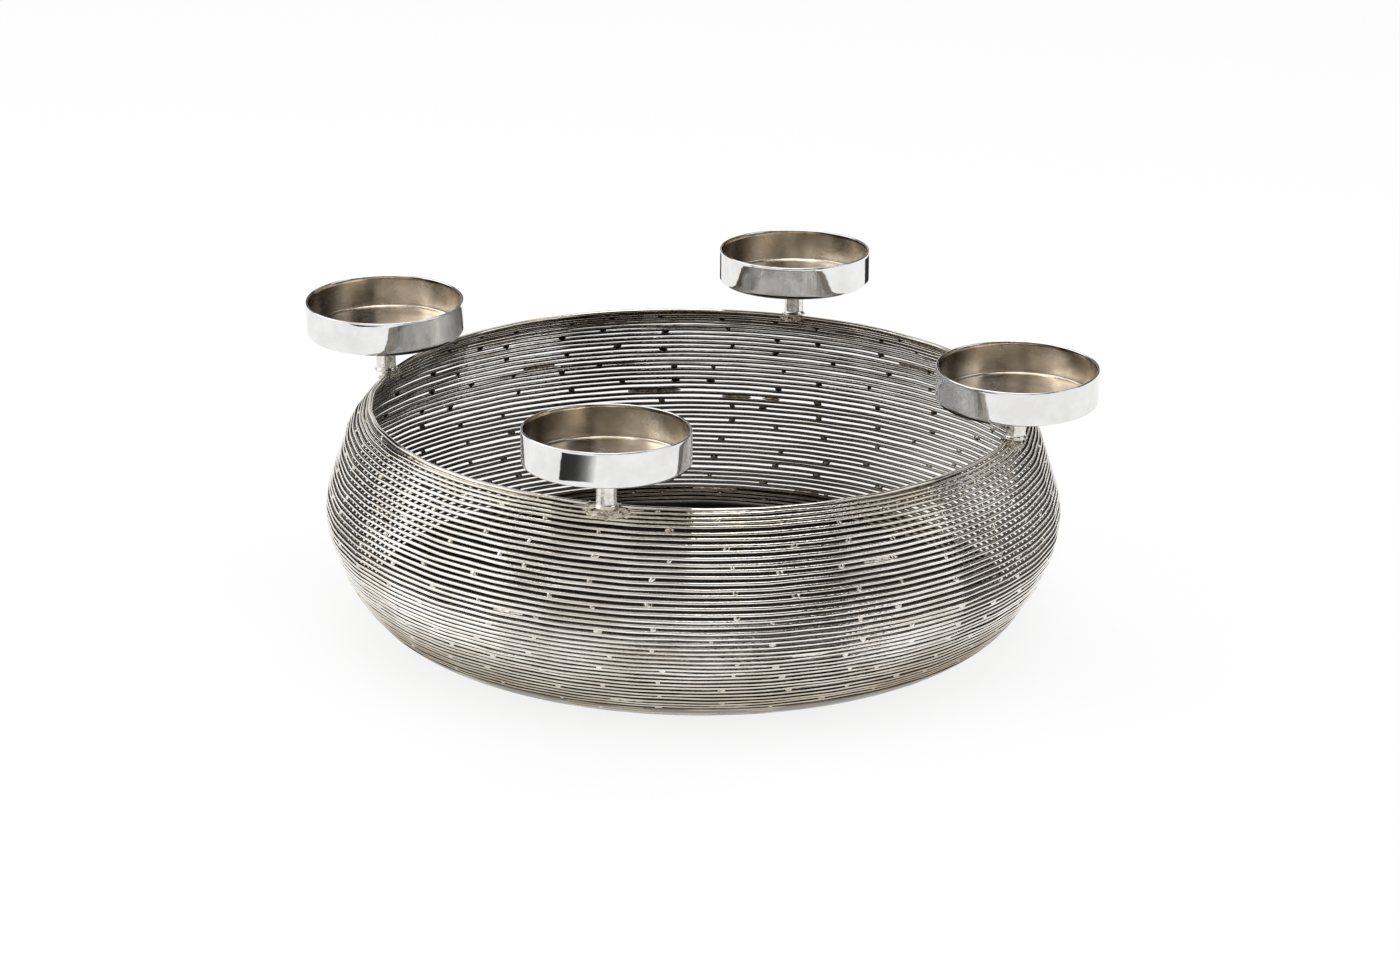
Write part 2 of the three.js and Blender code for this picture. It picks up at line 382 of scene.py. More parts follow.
def raggedness(tree, place, grain):
    """A little noise round 0, which makes an edge ragged."""
    grainy = noise_at(tree, place, grain)
    return math_node(tree, "MULTIPLY_ADD", grainy, RAGGEDNESS, -RAGGEDNESS / 2)


def shade_crevices(tree, colour, place, shade_colour):
    """The colour, with a painted shade where a wire faces its neighbours, and a ragged edge."""
    spared = math_node(tree, "MULTIPLY", marked(tree, INWARD), -CREVICE_SPARED_INSIDE)
    outside = math_node(tree, "ADD", marked(tree, CREVICE), spared)
    ragged = math_node(tree, "ADD", outside, raggedness(tree, place, CREVICE_GRAIN))
    further = ramp(tree, height_above_floor(tree), CREVICE_SHADE_BY_HEIGHT)
    reach = math_node(tree, "ADD", ragged, further)
    return blend_colours(tree, ramp(tree, reach, CREVICE_EDGE), colour, shade_colour)


def shade_inside(tree, colour, place, shade_colour):
    """The colour, with a painted shade where a wire faces the bowl's inside, most round one angle.
    """
    turn = math.radians(INSIDE_SHADE_ANGLE)
    most = (math.cos(turn), math.sin(turn), 0)
    towards = along_way(tree, object_coordinates(tree), most)
    side = math_node(tree, "DIVIDE", towards, INSIDE_SHADE_REACH)
    amount = ramp(tree, side, INSIDE_SHADE_AMOUNT)
    facing = math_node(tree, "ADD", marked(tree, INWARD), raggedness(tree, place, INSIDE_GRAIN))
    share = math_node(tree, "MULTIPLY", ramp(tree, facing, INSIDE_EDGE), amount)
    return blend_colours(tree, share, colour, shade_colour)


def shade_and_heat_tint(tree, colour, place, tint):
    """The colour, in patches browner: near the base a painted shade, near the rim the brown of
    brazing.
    """
    patches = ramp(tree, noise_at(tree, place, TINT_GRAIN), TINT_EDGE)
    height_share = ramp(tree, height_above_floor(tree), TINT_BY_HEIGHT)
    return blend_colours(tree, math_node(tree, "MULTIPLY", patches, height_share), colour, tint)


def shade_side(tree, colour, shaded):
    """The colour, darker on walls that face the shaded side."""
    normal = tree.nodes.new("ShaderNodeNewGeometry").outputs["Normal"]
    facing = along_way(tree, normal, SHADED_SIDE)
    return blend_colours(tree, ramp(tree, facing, SHADED_EDGE), colour, shaded)


def blend_colours(tree, share, colour, other):
    """The colour where share is 0, the plain other colour where it is 1."""
    mix = tree.nodes.new("ShaderNodeMix")
    mix.data_type = "RGBA"
    tree.links.new(share, mix.inputs["Factor"])
    tree.links.new(colour, mix.inputs[6])
    mix.inputs[7].default_value = (*other, 1)
    return mix.outputs[2]


def bump(tree, shader, height, distance):
    node = tree.nodes.new("ShaderNodeBump")
    node.inputs["Strength"].default_value = 1.0
    node.inputs["Distance"].default_value = distance
    tree.links.new(height, node.inputs["Height"])
    tree.links.new(node.outputs["Normal"], shader.inputs["Normal"])


def metal(
    name,
    dark,
    light,
    roughness,
    coordinates,
    scale,
    bump_scale,
    bump_depth,
    patches=None,
    inside=None,
    shaded=None,
):
    """Plated metal: colour and roughness drift between two values, with a fine uneven surface.

    With patches, a scale, the unevenness comes and goes in patches of that size. With inside, the
    colour of a painted shade on the side towards the bowl's inside, the metal is also brown near
    the base, a painted shade, and near the rim, from brazing, and has a painted shade in the
    crevices. With shaded, the colour of a painted shade, it is darker on the shaded side.
    """
    material, tree, shader = new_material(name)
    place = coordinates(tree)
    colour = ramp(tree, noise_at(tree, place, scale), zip(COLOUR_DRIFT, (dark, light)))
    if inside:
        colour = shade_and_heat_tint(tree, colour, place, BASE_SHADE_AND_HEAT_TINT)
        colour = shade_inside(tree, colour, place, inside)
        colour = shade_crevices(tree, colour, place, CREVICE_SHADE)
    if shaded:
        colour = shade_side(tree, colour, shaded)
    tree.links.new(colour, shader.inputs["Base Color"])
    rough = noise_at(tree, place, scale * ROUGHNESS_FINER)
    rough = ramp(tree, rough, zip(ROUGHNESS_DRIFT, roughness))
    tree.links.new(rough, shader.inputs["Roughness"])
    shader.inputs["Metallic"].default_value = 1.0
    uneven = noise_at(tree, place, bump_scale, detail=2.0)
    if patches:
        share = ramp(tree, noise_at(tree, place, patches, detail=1.0), UNEVEN_EDGE)
        uneven = math_node(tree, "MULTIPLY", uneven, share)
    bump(tree, shader, uneven, bump_depth)
    return material


# The inside colours below are a painted shade on the side that faces the bowl's inside
wire_metal = metal(
    "nickel_wire",
    dark=(0.74, 0.69, 0.61),
    light=(0.97, 0.945, 0.885),
    roughness=(0.02, 0.07),
    coordinates=lambda tree: around_coordinates(tree, along=1.0, across=1.6),
    scale=32.0,
    bump_scale=360.0,
    bump_depth=0.26 * MM,
    patches=26.0,
    inside=(0.085, 0.075, 0.062),
)
rim_metal = metal(
    "nickel_rim",
    dark=(0.72, 0.675, 0.61),
    light=(0.94, 0.92, 0.87),
    roughness=(0.03, 0.09),
    coordinates=lambda tree: around_coordinates(tree, along=1.0, across=1.6),
    scale=40.0,
    bump_scale=260.0,
    bump_depth=0.18 * MM,
    patches=30.0,
    inside=(0.36, 0.32, 0.26),
)
braze_metal = metal(
    "nickel_braze",
    dark=(0.48, 0.43, 0.355),
    light=(0.88, 0.85, 0.79),
    roughness=(0.06, 0.20),
    coordinates=object_coordinates,
    scale=380.0,
    bump_scale=800.0,
    bump_depth=0.06 * MM,
    inside=(0.12, 0.10, 0.08),
)
brown_braze = metal(
    "brown_braze",
    dark=(0.16, 0.12, 0.085),
    light=(0.52, 0.44, 0.35),
    roughness=(0.20, 0.42),
    coordinates=object_coordinates,
    scale=300.0,
    bump_scale=700.0,
    bump_depth=0.10 * MM,
)
# Near-black metal of the runs in the gap under the rim: a painted shade
gap_painted_shade = metal(
    "gap_painted_shade",
    dark=(0.035, 0.031, 0.027),
    light=(0.15, 0.138, 0.122),
    roughness=(0.22, 0.40),
    coordinates=object_coordinates,
    scale=300.0,
    bump_scale=700.0,
    bump_depth=0.06 * MM,
)
# Outside of the dish, lapped round the lowest wires: dark brown, a painted shade that stands for
# the shaded floor's reflection
dish_outside_metal = metal(
    "dish_outside_painted_shade",
    dark=(0.10, 0.085, 0.064),
    light=(0.19, 0.163, 0.125),
    roughness=(0.22, 0.36),
    coordinates=lambda tree: around_coordinates(tree, along=1.0, across=12.0),
    scale=30.0,
    bump_scale=120.0,
    bump_depth=0.02 * MM,
)
# Inside of the dish: nearly black, a painted shade for the deep inside of the bowl
dish_inside_metal = metal(
    "dish_inside_painted_shade",
    dark=(0.012, 0.0105, 0.009),
    light=(0.034, 0.030, 0.025),
    roughness=(0.26, 0.42),
    coordinates=lambda tree: around_coordinates(tree, along=1.0, across=12.0),
    scale=24.0,
    bump_scale=90.0,
    bump_depth=0.03 * MM,
)
cup_outside_metal = metal(
    "nickel_cup_outside",
    dark=(0.77, 0.765, 0.75),
    light=(0.86, 0.86, 0.845),
    roughness=(0.04, 0.09),
    coordinates=object_coordinates,
    scale=70.0,
    bump_scale=210.0,
    bump_depth=0.03 * MM,
)
# The shaded colour of the cups' insides is a painted shade on walls that face one side
cup_inside_metal = metal(
    "nickel_cup_inside",
    dark=(0.53, 0.465, 0.385),
    light=(0.96, 0.88, 0.765),
    roughness=(0.18, 0.30),
    coordinates=object_coordinates,
    scale=38.0,
    bump_scale=420.0,
    bump_depth=0.05 * MM,
    shaded=(0.16, 0.148, 0.13),
)
stem_metal = metal(
    "nickel_stem",
    dark=(0.70, 0.66, 0.59),
    light=(0.86, 0.84, 0.79),
    roughness=(0.12, 0.26),
    coordinates=object_coordinates,
    scale=260.0,
    bump_scale=700.0,
    bump_depth=0.06 * MM,
)


# Pieces

def link_object(name, data):
    linked = bpy.data.objects.new(name, data)
    bpy.context.collection.objects.link(linked)
    return linked


def mark_points(mesh, mark, values):
    mesh.attributes.new(mark, "FLOAT", "POINT").data.foreach_set("value", values)


def add_piece(name, points, faces, materials, replaced, material_indices=None):
    """A smooth mesh piece that rides on the root body and stands for the given solid nodes."""
    mesh = bpy.data.meshes.new(name)
    mesh.from_pydata(points, [], faces)
    for material in materials:
        mesh.materials.append(material)
    mesh.polygons.foreach_set("use_smooth", [True] * len(mesh.polygons))
    if material_indices is not None:
        mesh.polygons.foreach_set("material_index", material_indices)
    mesh.update()
    piece = link_object(name, mesh)
    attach(piece, "root")
    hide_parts(*replaced)
    return piece


def node_points(name):
    """The corners of a solid node, one row each."""
    vertices = frame["nodes"][name].data.vertices
    points = np.empty(len(vertices) * 3)
    vertices.foreach_get("co", points)
    return points.reshape(-1, 3)


def tube_faces(stations, sides, closed):
    """Quads between neighbouring sections of a tube, each a loop of points."""
    faces = []
    for i in range(stations if closed else stations - 1):
        here = i * sides
        after = ((i + 1) % stations) * sides
        for k in range(sides):
            k_next = (k + 1) % sides
            faces.append((here + k, after + k, after + k_next, here + k_next))
    return faces


def lathe_points(profile, segments):
    """The points of a profile of (radius, height) turned round +Z."""
    return [
        (
            radius * math.cos(2 * math.pi * i / segments),
            radius * math.sin(2 * math.pi * i / segments),
            height,
        )
        for i in range(segments)
        for radius, height in profile
    ]


def arc_points(middle, radius, start, end, steps, end_radius=None):
    """Points of an arc in the plane of radius and height, its angles in degrees.

    With end_radius, the arc's radius drifts to it on the way.
    """
    widening = 0.0 if end_radius is None else end_radius - radius
    points = []
    for i in range(steps + 1):
        share = i / steps
        turn = math.radians(start + (end - start) * share)
        here = radius + widening * share
        points.append((middle[0] + here * math.cos(turn), middle[1] + here * math.sin(turn)))
    return points


# Wire rings

def ring_place(name):
    """Radius and height of a ring's middle, and its wire's half thickness, from its solid."""
    points = node_points(name)
    radii = np.hypot(points[:, 0], points[:, 1])
    heights = points[:, 2]
    angles = np.round(np.arctan2(points[:, 1], points[:, 0]), 4)
    middles = []
    halves = []
    for angle in np.unique(angles):
        here = angles == angle
        section = np.unique(np.round(np.column_stack((radii[here], heights[here])), 6), axis=0)
        middles.append(section.mean(axis=0))
        halves.append(np.linalg.norm(section - section.mean(axis=0), axis=1).max())
    radius, height = np.median(middles, axis=0)
    return radius, height, float(np.median(halves))


def stray_wave(seed, size):
    """A smooth closed wave round the bowl, about size high, as a function of the angle."""
    draw = random.Random(seed)
    waves = [
        (count, draw.gauss(0, 1) / count**STRAY_FADE, draw.uniform(0, 2 * math.pi))
        for count in STRAY_WAVES
    ]

    def wave(angle):
        return size * sum(height * np.sin(count * angle + shift) for count, height, shift in waves)

    return wave


def degrees_from(spot, angle):
    """How far an angle in radians is from a spot in degrees, in degrees, the shorter way round."""
    turn = angle - math.radians(spot)
    return np.degrees(np.arctan2(np.sin(turn), np.cos(turn)))


class Ring:
    """One wire ring: where its middle runs at any angle."""

    def __init__(self, index, name):
        self.name = name
        self.radius, self.height, self.half = ring_place(name)
        seed = 3 * index + FIRST_RING_SEED
        self.out_stray = stray_wave(seed, WIRE_STRAY)
        self.up_stray = stray_wave(seed + 1, WIRE_STRAY)
        self.loose_spots = [spot[1:] for spot in LOOSE_SPOTS if spot[0] == index]

    def middle(self, angle):
        """Radius and height of the wire's middle at an angle or at an array of angles."""
        radius = self.radius + wall_wave(angle) + self.out_stray(angle)
        height = self.height + self.up_stray(angle)
        for spot, reach, rise in self.loose_spots:
            height = height + rise * np.exp(-((degrees_from(spot, angle) / reach) ** 2))
        return radius, height


wall_wave = stray_wave(WALL_SEED, WALL_STRAY)
rings = [Ring(index, name) for index, name in enumerate(RING_NAMES)]


def facing_shares(index, sides):
    """How far each side of a ring's section faces the next rings, and the bowl's inside, 0 to 1."""
    ring = rings[index]
    crevice = np.zeros(len(sides))
    for other in rings[max(index - 1, 0):index] + rings[index + 1:index + 2]:
        towards = np.array([other.radius - ring.radius, other.height - ring.height])
        towards /= np.linalg.norm(towards)
        facing = np.cos(sides) * towards[0] + np.sin(sides) * towards[1]
        crevice = np.maximum(crevice, facing)
    upper = rings[max(index - 1, 0)]
    lower = rings[min(index + 1, len(rings) - 1)]
    rise = np.array([upper.radius - lower.radius, upper.height - lower.height])
    rise /= np.linalg.norm(rise)
    inward = np.cos(sides) * -rise[1] + np.sin(sides) * rise[0]
    return {CREVICE: crevice, INWARD: np.maximum(inward, 0.0)}


def add_ring(index, material):
    """A wire ring as a closed tube that strays a little, its sides marked for the painted shade."""
    ring = rings[index]
    stations = np.linspace(0, 2 * math.pi, RING_STATIONS, endpoint=False)
    sides = np.linspace(0, 2 * math.pi, WIRE_SIDES, endpoint=False)
    radius, height = ring.middle(stations)
    out = radius[:, None] + ring.half * np.cos(sides)[None, :]
    up = height[:, None] + ring.half * np.sin(sides)[None, :]
    x = out * np.cos(stations)[:, None]
    y = out * np.sin(stations)[:, None]
    points = np.stack((x, y, up), axis=2).reshape(-1, 3).tolist()
    faces = tube_faces(RING_STATIONS, WIRE_SIDES, closed=True)
    piece = add_piece(ring.name + "_wire", points, faces, [material], [ring.name])
    for mark, shares in facing_shares(index, sides).items():
        mark_points(piece.data, mark, np.tile(shares, RING_STATIONS))


def add_rings():
    add_ring(0, rim_metal)
    for index in range(1, len(rings)):
        add_ring(index, wire_metal)


# Braze between the wires

def gap_frame(index, angle):
    """Middle of the gap under a ring, its outward, upward and sideways lines, and its pitch."""
    turn = np.array([math.cos(angle), math.sin(angle), 0.0])
    rise = np.array([0.0, 0.0, 1.0])
    upper = rings[index].middle(angle)
    lower = rings[index + 1].middle(angle)
    top = upper[0] * turn + upper[1] * rise
    bottom = lower[0] * turn + lower[1] * rise
    up = (top - bottom) / np.linalg.norm(top - bottom)
    side = np.array([-math.sin(angle), math.cos(angle), 0.0])
    out = np.cross(side, up)
    return (top + bottom) / 2, out, up, side, np.linalg.norm(top - bottom)


def unit_blob(divisions):
    """Points and faces of a round blob of radius 1."""
    shape = bmesh.new()
    bmesh.ops.create_icosphere(shape, subdivisions=divisions, radius=1.0)
    points = np.array([vertex.co[:] for vertex in shape.verts])
    faces = [tuple(vertex.index for vertex in face.verts) for face in shape.faces]
    shape.free()
    return points, faces


def lumpy(points, seed, depth, scale):
    """Points of a blob pushed in and out along their own direction by smooth noise."""
    shift = Vector([seed * step for step in LUMP_STEP])
    swell = [1 + depth * noise.noise(Vector(point) * scale + shift) for point in points]
    return points * np.array(swell)[:, None]


def bead_places():
    """Gap number and angle of each bead, in columns with every few rows one bead."""
    draw = random.Random(BEAD_PLACE_SEED)
    for column in range(BEAD_COLUMNS):
        start = draw.randrange(ROWS_PER_BEAD)
        for gap in range(start, len(rings) - 1, ROWS_PER_BEAD):
            row = min(len(rings) - 2, gap + draw.choice(ROW_SLIPS))
            step = column + draw.uniform(-BEAD_SCATTER, BEAD_SCATTER)
            yield row, 2 * math.pi * step / BEAD_COLUMNS


def add_beads():
    """The beads as one piece, their sides towards the bowl's inside marked for the painted shade.
    """
    blob, blob_faces = unit_blob(2)
    draw = random.Random(BEAD_SEED)
    points = []
    faces = []
    inward = []
    for number, (gap, angle) in enumerate(bead_places()):
        middle, out, up, side, pitch = gap_frame(gap, angle)
        length = BEAD_HALF_LENGTH * draw.uniform(*BEAD_LENGTHS)
        depth = BEAD_HALF_DEPTH * draw.uniform(*BEAD_DEPTHS)
        height = pitch / 2 + BEAD_OVERLAP
        skew = draw.uniform(-BEAD_SKEW, BEAD_SKEW)
        shape = lumpy(blob, number, BEAD_ROUGHNESS, BEAD_LUMP_SCALE)
        sideways = shape[:, 0] * length + shape[:, 2] * skew
        placed = (
            middle
            + np.outer(shape[:, 1] * depth, out)
            + np.outer(shape[:, 2] * height, up)
            + np.outer(sideways, side)
        )
        first = len(points)
        points.extend(placed.tolist())
        faces.extend(tuple(first + k for k in face) for face in blob_faces)
        inward.extend(np.clip(0.5 - shape[:, 1], 0.0, 1.0))
    piece = add_piece("braze_beads", points, faces, [braze_metal], [])
    mark_points(piece.data, INWARD, inward)


def add_braze_runs(name, runs, material, inset, depth):
    """Long runs of braze that fill the gap between two wires, thinning out to both ends.

    A run stays inset below the wires' middle lines, and depth is half its thickness.
    """
    points = []
    faces = []
    for number, (gap, middle_angle, arc) in enumerate(runs):
        stations = RUN_LEAST_STATIONS + arc * RUN_STATIONS_PER_DEGREE
        first = len(points)
        for i in range(stations):
            share = i / (stations - 1)
            angle = math.radians(middle_angle + (share - 0.5) * arc)
            middle, out, up, side, pitch = gap_frame(gap, angle)
            kept_share = min(max(share, RUN_LEAST_SHARE), 1 - RUN_LEAST_SHARE)
            taper = math.sin(math.pi * kept_share) ** RUN_BLUNTNESS
            uneven = noise.noise(Vector((i * RUN_STEP, number * NEXT_RUN_STEP, 0)))
            patchy = RUN_LEVEL + RUN_UNEVENNESS * uneven
            half_height = (pitch / 2 - inset) * taper * patchy
            half_depth = depth * taper * patchy
            for k in range(RUN_SIDES):
                turn = 2 * math.pi * k / RUN_SIDES
                outward = out * half_depth * math.cos(turn)
                spot = middle + outward + up * half_height * math.sin(turn)
                points.append(spot.tolist())
        tube = tube_faces(stations, RUN_SIDES, closed=False)
        faces.extend(tuple(first + k for k in face) for face in tube)
        faces.append(tuple(first + k for k in reversed(range(RUN_SIDES))))
        faces.append(tuple(first + (stations - 1) * RUN_SIDES + k for k in range(RUN_SIDES)))
    add_piece(name, points, faces, [material], [])


# Base dish

def add_base_dish():
    """The pressed dish, flat below and turned up in one arc, its edge lapped round the wires."""
    points = node_points("base_dish")
    radii = np.hypot(points[:, 0], points[:, 1])
    flat = radii[points[:, 2] < FLAT_LIMIT].max()
    edge = int(radii.argmax())
    reach = radii[edge] - flat
    rise = points[edge, 2]
    sheet = points[radii < flat / 2, 2].max()
    bend = (reach**2 + rise**2) / (2 * rise)
    sweep = math.degrees(math.atan2(reach, bend - rise))
    middle = (flat, bend)
    line = bend - sheet / 2
    lap_sweep = math.degrees(math.acos((bend - LAP_HEIGHT) / line))
    lap_outer = line + LAP_OUTSIDE
    lap_inner = lap_outer - LAP_SHEET
    flat_shares = (0.0, 0.25, 0.5, 0.75, 0.98)
    under = [(flat * share, 0.0) for share in flat_shares]
    heel = arc_points(middle, bend, -90, -90 + sweep, 8, end_radius=lap_outer)
    lap_outside = arc_points(middle, lap_outer, -90 + sweep, -90 + lap_sweep, 12)[1:]
    lap_inside = arc_points(middle, lap_inner, -90 + lap_sweep, -90 + sweep, 12)
    inside = arc_points(middle, bend - sheet, -90 + sweep, -90, 14)
    over = [(flat * share, sheet) for share in reversed(flat_shares)]
    outside = under + heel + lap_outside
    profile = outside + lap_inside + inside + over
    points = lathe_points(profile, DISH_SEGMENTS)
    faces = tube_faces(DISH_SEGMENTS, len(profile), closed=True)
    sides = [1 if len(outside) <= face[0] % len(profile) else 0 for face in faces]
    piece = add_piece(
        "base_dish_sheet",
        points,
        faces,
        [dish_outside_metal, dish_inside_metal],
        ["base_dish"],
        sides,
    )
    tidy_axis(piece)


def tidy_axis(piece):
    """Welds the points that a turned profile leaves on its axis."""
    shape = bmesh.new()
    shape.from_mesh(piece.data)
    bmesh.ops.remove_doubles(shape, verts=shape.verts, dist=WELD_LIMIT)
    bmesh.ops.recalc_face_normals(shape, faces=shape.faces)
    shape.to_mesh(piece.data)
    shape.free()


# Candle cups

def cup_frame(name):
    """The middle of a cup's floor and the turn of its axis, from the record's seat."""
    mounts = frame["record"]["mounts"]
    seat = next(mount for mount in mounts if mount["name"] == f"candle_seat_{name}")
    turn = Vector(seat["axis"]).normalized().to_track_quat("Z", "Y")
    return Matrix.Translation(Vector(seat["pos_m"])) @ turn.to_matrix().to_4x4()


def local_points(node, place):
    """The corners of a solid node as seen from a placed frame."""
    points = node_points(node)
    turn = np.array(place.inverted())
    return points @ turn[:3, :3].T + turn[:3, 3]


def add_cup(name, number):
    """A pressed pan with a rounded lip and corner, not quite round and with a few shallow dents."""
    place = cup_frame(name)
    solid = local_points(f"cup_{name}", place)
    radius = np.hypot(solid[:, 0], solid[:, 1]).max()
    lip = solid[:, 2].max()
    sheet = -solid[:, 2].min()
    corner = (radius - CUP_CORNER, CUP_CORNER - sheet)
    lip_middle = (radius - sheet / 2, lip - sheet / 2)
    floor_shares = (0.0, 0.2, 0.4, 0.6, 0.8, 0.94)
    wall_shares = [i / 10 for i in range(1, 10)]
    wall_low = corner[1]
    wall = lip_middle[1] - wall_low
    under = [(corner[0] * share, -sheet) for share in floor_shares]
    outer_corner = arc_points(corner, CUP_CORNER, -90, 0, 7)
    outer_wall = [(radius, wall_low + wall * share) for share in wall_shares]
    lip_round = arc_points(lip_middle, sheet / 2, 0, 180, 6)
    inner_wall = [(radius - sheet, lip_middle[1] - wall * share) for share in wall_shares]
    inner_corner = arc_points(corner, CUP_CORNER - sheet, 0, -90, 6)
    over = [(corner[0] * share, 0.0) for share in reversed(floor_shares)]
    outside = under + outer_corner + outer_wall + lip_round
    profile = outside + inner_wall + inner_corner + over
    draw = random.Random(number + CUP_SEED)
    lobes = [(count, draw.gauss(0, 1), draw.uniform(0, 2 * math.pi)) for count in CUP_LIP_LOBES]
    points = []
    for x, y, z in lathe_points(profile, CUP_SEGMENTS):
        angle = math.atan2(y, x)
        rise = max(0.0, z) / lip
        lobe = sum(height * math.sin(count * angle + shift) for count, height, shift in lobes)
        spot = Vector((x, y, z * CUP_DENT_SQUASH)) * CUP_DENT_SCALE
        dent = noise.noise(spot + Vector((number * CUP_NOISE_STEP, 0, 0)))
        share = math.hypot(x, y) / radius
        push = CUP_OUT_OF_ROUND * rise * lobe * share + CUP_DENT * dent * share**3
        swell = 1 + push / radius
        sag = CUP_SAG * noise.noise(Vector((x, y, number)) * CUP_SAG_SCALE) * (1 - share)
        points.append(place @ Vector((x * swell, y * swell, z + sag)))
    faces = tube_faces(CUP_SEGMENTS, len(profile), closed=True)
    inside_start = len(outside)
    sides = [1 if inside_start <= face[0] % len(profile) else 0 for face in faces]
    piece = add_piece(
        f"cup_{name}_pan",
        points,
        faces,
        [cup_outside_metal, cup_inside_metal],
        [f"cup_{name}"],
        sides,
    )
    tidy_axis(piece)
    return place, sheet


def add_stem(name, place, sheet):
    """A rod under the cup, flared a little where it is brazed to the cup and to its mound."""
    solid = local_points(f"stem_{name}", place)
    radius = np.hypot(solid[:, 0], solid[:, 1]).max()
    top = -sheet
    foot = solid[:, 2].min() - STEM_INTO_MOUND
    wide = radius + STEM_FLARE
    profile = [(0.0, top + STEM_INTO_CUP), (wide, top + STEM_INTO_CUP)]
    profile += [(wide - inward, top - down) for inward, down in flare_curve(STEM_FLARE)]
    profile += [(radius, top + (foot - top) * share) for share in (0.25, 0.4, 0.55, 0.7)]
    profile += [
        (radius + STEM_FLARE * share**2, foot + STEM_FOOT_FLARE_HEIGHT * (1 - share))
        for share in (0, 0.35, 0.7, 1)
    ]
    profile += [(0.0, foot)]
    points = []
    for x, y, z in lathe_points(profile, STEM_SEGMENTS):
        swell = 1 + STEM_UNEVENNESS * noise.noise(Vector((x, y, z)) * STEM_LUMP_SCALE)
        points.append(place @ Vector((x * swell, y * swell, z)))
    faces = tube_faces(STEM_SEGMENTS, len(profile), closed=True)
    piece = add_piece(
        f"stem_{name}_rod",
        points,
        faces,
        [stem_metal],
        [f"stem_{name}"],
    )
    tidy_axis(piece)
    return place @ Vector((0, 0, foot))


def flare_curve(flare):
    """Steps inwards and downwards of a quarter fillet, which starts a little below its top."""
    turns = [math.radians(90 * i / 5) for i in range(1, 6)]
    return [
        (flare * math.sin(turn), flare * (1 - math.cos(turn)) + STEM_FILLET_DROP)
        for turn in turns
    ]


def add_mound(name, number, foot):
    """The puddle of braze that holds a stem's foot to the rim: a lumpy cap over the wires."""
    blob, faces = unit_blob(5)
    out = Vector((foot.x, foot.y, 0)).normalized()
    side = Vector((-out.y, out.x, 0))
    rim = rings[0]
    middle = out * (rim.radius + MOUND_OUTSET) + Vector((0, 0, rim.height - MOUND_DROP))
    shape = blob
    for seed, depth, scale in MOUND_LUMPS:
        shape = lumpy(shape, number + seed, depth, scale)
    points = []
    for dx, dy, dz in shape.tolist():
        drop = MOUND_HANG * max(dx, 0.0) * MOUND_DEPTH / 2
        spot = (
            middle
            + out * (dx * MOUND_DEPTH / 2)
            + side * (dy * MOUND_WIDTHS[name] / 2)
            + Vector((0, 0, dz * MOUND_HEIGHT / 2 - drop))
        )
        points.append(spot)
    add_piece(
        f"braze_mound_{name}_puddle",
        points,
        faces,
        [braze_metal],
        [f"braze_mound_{name}"],
    )


def add_candle_cups():
    for number, name in enumerate(CUP_NAMES):
        place, sheet = add_cup(name, number)
        foot = add_stem(name, place, sheet)
        add_mound(name, number, foot)


add_rings()
add_beads()
add_braze_runs("braze_runs_brown", BROWN_RUNS, brown_braze, inset=0.55 * MM, depth=0.6 * MM)
add_braze_runs("painted_shade_runs", GAP_SHADE_RUNS, gap_painted_shade, inset=0.25 * MM, depth=0.85 * MM)
add_braze_runs("braze_runs_bright", BRIGHT_RUNS, braze_metal, inset=0.15 * MM, depth=0.8 * MM)
add_base_dish()
add_candle_cups()


# Stage: floor, world, lamps, and the studio's darker walls and cards, which only the metal shows

def seen_share(tree, camera_share, glossy_share):
    """How much of the plain white shows: one share to the camera, one to mirrors and glass."""
    path = tree.nodes.new("ShaderNodeLightPath")
    mirror = math_node(
        tree, "MAXIMUM", path.outputs["Is Glossy Ray"], path.outputs["Is Transmission Ray"]
    )
    return math_node(
        tree,
        "MAXIMUM",
        math_node(tree, "MULTIPLY", path.outputs["Is Camera Ray"], camera_share),
        math_node(tree, "MULTIPLY", mirror, glossy_share),
    )


def add_floor():
    mesh = bpy.data.meshes.new("studio_floor")
    corners = [
        (-FLOOR_HALF, -FLOOR_HALF, 0),
        (FLOOR_HALF, -FLOOR_HALF, 0),
        (FLOOR_HALF, FLOOR_HALF, 0),
        (-FLOOR_HALF, FLOOR_HALF, 0),
    ]
    mesh.from_pydata(corners, [], [(0, 1, 2, 3)])
    floor = link_object("studio_floor", mesh)
    material, tree, shader = new_material("studio_white")
    shader.inputs["Base Color"].default_value = (0.9, 0.9, 0.9, 1)
    shader.inputs["Roughness"].default_value = 0.9
    shader.inputs["Specular IOR Level"].default_value = 0.0
    white = tree.nodes.new("ShaderNodeEmission")
    white.inputs["Color"].default_value = (1, 1, 1, 1)
    mix = tree.nodes.new("ShaderNodeMixShader")
    tree.links.new(seen_share(tree, *FLOOR_SEEN), mix.inputs["Fac"])
    tree.links.new(shader.outputs[0], mix.inputs[1])
    tree.links.new(white.outputs[0], mix.inputs[2])
    tree.links.new(mix.outputs[0], tree.nodes["Material Output"].inputs["Surface"])
    mesh.materials.append(material)


def set_world():
    world = bpy.data.worlds.new("studio_world")
    world.use_nodes = True
    bpy.context.scene.world = world
    tree = world.node_tree
    background = tree.nodes["Background"]
    background.inputs["Color"].default_value = (1, 1, 1, 1)
    seen = seen_share(tree, *WORLD_SEEN)
    strength = math_node(tree, "MULTIPLY_ADD", seen, 1.0 - WORLD_LIGHT, WORLD_LIGHT)
    tree.links.new(strength, background.inputs["Strength"])


